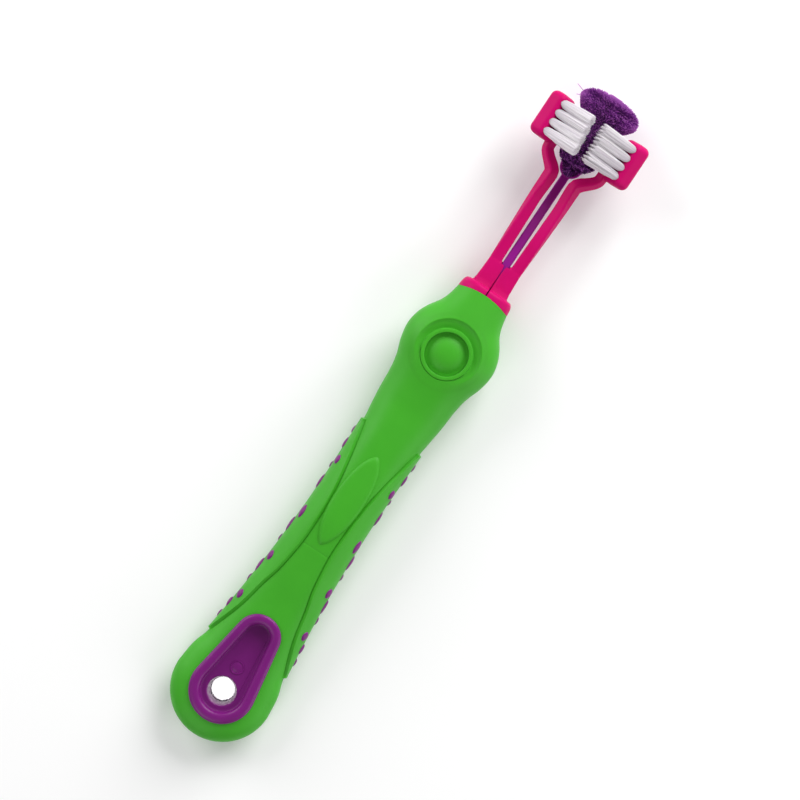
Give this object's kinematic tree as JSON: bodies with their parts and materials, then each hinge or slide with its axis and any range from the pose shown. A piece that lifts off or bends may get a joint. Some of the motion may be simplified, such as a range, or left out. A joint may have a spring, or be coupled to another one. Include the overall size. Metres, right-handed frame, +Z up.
{
  "type": "pet toothbrush",
  "caption": "Three-headed pet toothbrush: long soft-skinned handle, two pink side brushes that face each other, and a purple brush behind them.",
  "frame": {"origin": "under the middle of the brush's bounding box, on the surface that it lies on", "axes": "+Y along the brush from the tail of the handle to the tip of the head, +X to the right seen from the front, +Z up out of the front face, which carries the thumb dome"},
  "size_m": [0.0334, 0.2149, 0.0251],
  "materials": {
    "core": "satin hard plastic",
    "skin": "matt soft rubber",
    "button": "matt soft rubber",
    "catch": "satin hard plastic",
    "pink": "satin hard plastic",
    "purple": "satin hard plastic",
    "white_nylon": "nylon filaments",
    "purple_nylon": "nylon filaments"
  },
  "bodies": {
    "handle": {"handle_core": "core", "grip_skin": "skin"},
    "button": {"thumb_button": "button", "release_catch": "catch"},
    "head": {"left_clip": "pink", "right_clip": "pink", "centre_tang": "purple"},
    "left_arm": {"left_arm": "pink", "left_tufts_row_1": "white_nylon", "left_tufts_row_2": "white_nylon", "left_tufts_row_3": "white_nylon", "left_tufts_row_4": "white_nylon"},
    "right_arm": {"right_arm": "pink", "right_tufts_row_1": "white_nylon", "right_tufts_row_2": "white_nylon", "right_tufts_row_3": "white_nylon", "right_tufts_row_4": "white_nylon"},
    "centre_arm": {"centre_arm": "purple", "centre_tufts_row_1": "purple_nylon", "centre_tufts_row_2": "purple_nylon", "centre_tufts_row_3": "purple_nylon", "centre_tufts_row_4": "purple_nylon", "centre_tufts_row_5": "purple_nylon", "centre_tufts_row_6": "purple_nylon", "centre_tufts_row_7": "purple_nylon", "centre_tufts_row_8": "purple_nylon"}
  },
  "joints": [
    {"name": "button_press", "type": "slide", "parent": "handle", "child": "button", "axis": [0, 0, -1], "range_m": [0, 0.0012], "stiffness_N_per_m": 800, "springref_m": -0.001},
    {"name": "head_release", "type": "slide", "parent": "handle", "child": "head", "axis": [0, 0.9986, 0.0523], "range_m": [0, 0.016]},
    {"name": "left_arm_flex", "type": "hinge", "parent": "head", "child": "left_arm", "pos_m": [-0.00352, 0.05478, 0.01088], "axis": [0, -0.0523, 0.9986], "range_deg": [-0.5, 6], "stiffness_Nm_per_rad": 1},
    {"name": "right_arm_flex", "type": "hinge", "parent": "head", "child": "right_arm", "pos_m": [0.00352, 0.05478, 0.01088], "axis": [0, 0.0523, -0.9986], "range_deg": [-0.5, 6], "stiffness_Nm_per_rad": 1},
    {"name": "centre_arm_flex", "type": "hinge", "parent": "head", "child": "centre_arm", "pos_m": [0, 0.05479, 0.01073], "axis": [-1, 0, 0], "range_deg": [0, 6], "stiffness_Nm_per_rad": 0.3}
  ]
}
